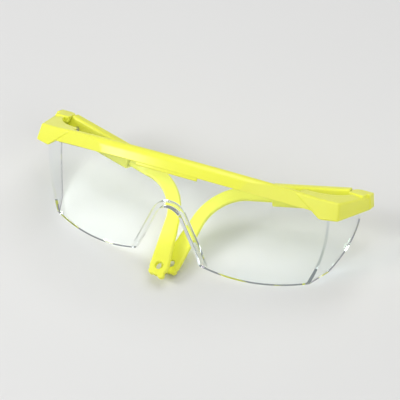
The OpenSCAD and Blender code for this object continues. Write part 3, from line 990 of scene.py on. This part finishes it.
class GLASSES_OT_arms(bpy.types.Operator):
    """Model the sliding temple arms with their ear hooks and cord holes"""
    bl_idname = "glasses.arms"
    bl_label = "Temple arms"

    round_segments = 6
    twist_steps = 10
    bend_steps = 32
    widen_steps = 6
    tip_steps = 12
    lobe_crease = 40        # degrees of turn at an edge of a lobe that gets rounded
    lobe_share = 0.96       # thickness of the lobes beside that of the arm
    hole_steps = 48
    hole_half = 0.003       # metres from the middle of the hole's cutter to its ends

    def execute(self, context):
        for side in SIDES:
            sizes = context.scene.glasses_temples
            bm = self.arm(sizes)
            out = sizes.out_left if SIDES[side] < 0 else 0
            move(bm, at_rest() @ at_temple(side) @ Matrix.Translation((out, 0, 0)))
            make_piece("arm_moulding_" + side, bm, "temple_arm_" + side, "arm_" + side,
                       temple_plastic(), smooth=35)
        return {"FINISHED"}

    def arm(self, sizes):
        """One arm in its temple's frame"""
        bm = bmesh.new()
        wide = sizes.arm_thick / 2
        tall = sizes.arm_high / 2
        corners = [(-wide, -tall), (wide, -tall), (wide, tall), (-wide, tall)]
        verts = [bm.verts.new((sizes.arm_start, y, z)) for y, z in corners]
        bm.faces.new(verts)
        round_corners(bm, verts, sizes.arm_round, self.round_segments)
        cap = self.push(bm, bm.faces[:], Vector((sizes.twist_start - sizes.arm_start, 0, 0)))
        step = Vector((sizes.bend_start - sizes.twist_start, 0, 0)) / self.twist_steps
        turn = Matrix.Rotation(-sizes.cant / self.twist_steps, 3, "X")
        for _ in range(self.twist_steps):
            cap = self.push(bm, cap, step)
            bmesh.ops.rotate(bm, cent=(0, 0, 0), matrix=turn, verts=cap[0].verts[:])
        cant = Matrix.Rotation(-sizes.cant, 3, "X")
        middle = Vector((sizes.bend_start, 0, 0)) + cant @ Vector((0, 0, -sizes.bend_r))
        bend = Matrix.Rotation(sizes.bend_turn / self.bend_steps, 3, cant @ Vector((0, 1, 0)))
        for _ in range(self.bend_steps):
            cap = self.push(bm, cap, Vector((0, 0, 0)))
            bmesh.ops.rotate(bm, cent=middle, matrix=bend, verts=cap[0].verts[:])
        self.paddle(bm, cap, sizes, cant)
        face_outward(bm)
        self.tip(bm, sizes, cant)
        return bm

    def push(self, bm, faces, step):
        """Extrude an end face by a step, and give the new end face"""
        grown = bmesh.ops.extrude_face_region(bm, geom=faces + faces[0].edges[:])
        verts = [g for g in grown["geom"] if isinstance(g, bmesh.types.BMVert)]
        bmesh.ops.translate(bm, vec=step, verts=verts)
        return [g for g in grown["geom"] if isinstance(g, bmesh.types.BMFace)]

    def hook_frame(self, sizes, cant):
        """Frame at the cord hole: X along the hook, Z across it"""
        turn = cant @ Matrix.Rotation(sizes.bend_turn, 3, "Y")
        middle = Vector((sizes.bend_start, 0, 0)) + cant @ Vector((0, 0, -sizes.bend_r))
        place = middle + turn @ Vector((sizes.hook_long, 0, sizes.bend_r))
        return Matrix.Translation(place) @ turn.to_4x4()

    def paddle(self, bm, cap, sizes, cant):
        """Widen the hook to its paddle, and round off the tip"""
        hook = self.hook_frame(sizes, cant)
        space = hook.inverted()
        narrow = sizes.arm_high / 2
        wide = sizes.paddle / 2
        shares = [k / self.widen_steps for k in range(1, self.widen_steps + 1)]
        stations = [(-sizes.hook_long * (1 - share), narrow + (wide - narrow) * share)
                    for share in shares]
        turns = [math.pi / 2 * k / self.tip_steps for k in range(1, self.tip_steps)]
        stations += [(wide * math.sin(t), wide * math.cos(t)) for t in turns]
        past = -sizes.hook_long
        width = narrow
        for along, half in stations:
            cap = self.push(bm, cap, hook.to_3x3() @ Vector((along - past, 0, 0)))
            bmesh.ops.scale(bm, vec=(1, 1, half / width), space=space, verts=cap[0].verts[:])
            past = along
            width = half

    def tip(self, bm, sizes, cant):
        """Add the two lobes of the tip, and cut the cord hole with soft rims"""
        hook = self.hook_frame(sizes, cant) @ Matrix.Rotation(math.pi / 2, 4, "X")
        thick = sizes.arm_thick / 2
        half = thick * self.lobe_share
        lobes = ((sizes.long_lobe, sizes.long_lobe_off), (sizes.short_lobe, sizes.short_lobe_off))
        for along, off in lobes:
            lobe = rod(sizes.lobe_r, -half, half, segments=40)
            round_edges(lobe, sharp_edges(lobe, self.lobe_crease), sizes.end_soft)
            combine(bm, lobe, "UNION", hook @ Matrix.Translation((along, off, 0)))
        hole = bmesh.new()
        soft = sizes.cord_soft
        rim = sizes.cord_r + soft
        upper = [(sizes.cord_r, thick - soft), (rim, thick), (rim, self.hole_half),
                 (0, self.hole_half)]
        profile = [(r, -z) for r, z in reversed(upper)] + upper
        verts = [hole.verts.new((r, 0, z)) for r, z in profile]
        edges = [hole.edges.new(pair) for pair in zip(verts, verts[1:])]
        bmesh.ops.spin(hole, geom=verts + edges, cent=(0, 0, 0), axis=(0, 0, 1),
                       angle=2 * math.pi, steps=self.hole_steps, use_merge=True)
        bmesh.ops.remove_doubles(hole, verts=hole.verts[:], dist=TOUCHING)
        face_outward(hole)
        combine(bm, hole, "DIFFERENCE", hook)


class GLASSES_OT_hinge_blocks(bpy.types.Operator):
    """Finish the hinge blocks inside the forks"""
    bl_idname = "glasses.hinge_blocks"
    bl_label = "Hinge blocks"

    def execute(self, context):
        for side in SIDES:
            set_material("hinge_block_" + side, frame_plastic())
        return {"FINISHED"}


class GLASSES_OT_pins(bpy.types.Operator):
    """Finish the fold pins and tilt pivots"""
    bl_idname = "glasses.pins"
    bl_label = "Pins and pivots"

    def execute(self, context):
        for side in SIDES:
            set_material("hinge_pin_" + side, pin_steel())
            set_material("tilt_pivot_" + side, pin_steel())
        return {"FINISHED"}


class GLASSES_OT_stage(bpy.types.Operator):
    """Set up the floor, the softboxes and the camera"""
    bl_idname = "glasses.stage"
    bl_label = "Stage"

    floor_size = 3.0
    camera_place = (0.30489, -0.51917, 0.63599)
    camera_degrees = (44.31, 4.667, 25.02)
    focal_length = 180.0
    sensor_width = 36.0
    shift_up = -0.004

    def execute(self, context):
        scene = context.scene
        studio = scene.glasses_studio
        scene.view_settings.view_transform = "Standard"
        bm = bmesh.new()
        bmesh.ops.create_grid(bm, x_segments=1, y_segments=1, size=self.floor_size)
        mesh = bpy.data.meshes.new("studio_floor")
        bm.to_mesh(mesh)
        bm.free()
        mesh.materials.append(floor_paint())
        floor = bpy.data.objects.new("studio_floor", mesh)
        scene.collection.objects.link(floor)
        self.softbox("key_softbox", place=(-0.61, -0.4, 0.53), size=0.3, power=studio.key)
        self.softbox("top_softbox", place=(0.1, 0.35, 0.9), size=0.7, power=studio.top)
        self.softbox("fill_softbox", place=(0.7, -0.5, 0.6), size=0.6, power=studio.fill)
        world = bpy.data.worlds.new("Studio sky")
        world.use_nodes = True
        sky = world.node_tree.nodes["Background"]
        sky.inputs["Color"].default_value = (1.0, 1.0, 1.0, 1.0)
        sky.inputs["Strength"].default_value = studio.sky
        scene.world = world
        lens = bpy.data.cameras.new("camera")
        lens.lens = self.focal_length
        lens.sensor_width = self.sensor_width
        lens.shift_y = self.shift_up
        camera = bpy.data.objects.new("camera", lens)
        camera.location = self.camera_place
        camera.rotation_euler = [math.radians(turn) for turn in self.camera_degrees]
        scene.collection.objects.link(camera)
        scene.camera = camera
        return {"FINISHED"}

    def softbox(self, name, place, size, power):
        """A square soft lamp that faces the glasses"""
        lamp = bpy.data.lights.new(name, "AREA")
        lamp.size = size
        lamp.energy = power
        box = bpy.data.objects.new(name, lamp)
        box.location = place
        box.rotation_euler = Vector(place).to_track_quat("Z", "Y").to_euler()
        bpy.context.scene.collection.objects.link(box)


class GLASSES_PT_panel(bpy.types.Panel):
    """Buttons for the pieces of the safety glasses"""
    bl_label = "Safety Glasses"
    bl_idname = "GLASSES_PT_panel"
    bl_space_type = "VIEW_3D"
    bl_region_type = "UI"
    bl_category = "Safety Glasses"

    def draw(self, context):
        for operator in OPERATORS:
            self.layout.operator(operator.bl_idname)


SETTINGS = {
    "glasses_pose": RestingPose,
    "glasses_lens": LensSizes,
    "glasses_bar": BarSizes,
    "glasses_hinges": HingeSizes,
    "glasses_temples": TempleSizes,
    "glasses_finishes": Finishes,
    "glasses_studio": Studio,
}
OPERATORS = (GLASSES_OT_lens, GLASSES_OT_brow_bar, GLASSES_OT_hinge_blocks, GLASSES_OT_sleeves,
             GLASSES_OT_arms, GLASSES_OT_pins, GLASSES_OT_stage)


def register():
    for name, group in SETTINGS.items():
        bpy.utils.register_class(group)
        setattr(bpy.types.Scene, name, PointerProperty(type=group))
    for cls in (*OPERATORS, GLASSES_PT_panel):
        bpy.utils.register_class(cls)


def unregister():
    for cls in (GLASSES_PT_panel, *reversed(OPERATORS)):
        bpy.utils.unregister_class(cls)
    for name, group in SETTINGS.items():
        delattr(bpy.types.Scene, name)
        bpy.utils.unregister_class(group)


def main():
    register()
    bpy.ops.glasses.lens()
    bpy.ops.glasses.brow_bar()
    bpy.ops.glasses.hinge_blocks()
    bpy.ops.glasses.sleeves()
    bpy.ops.glasses.arms()
    bpy.ops.glasses.pins()
    bpy.ops.glasses.stage()


if __name__ == "__main__":
    main()
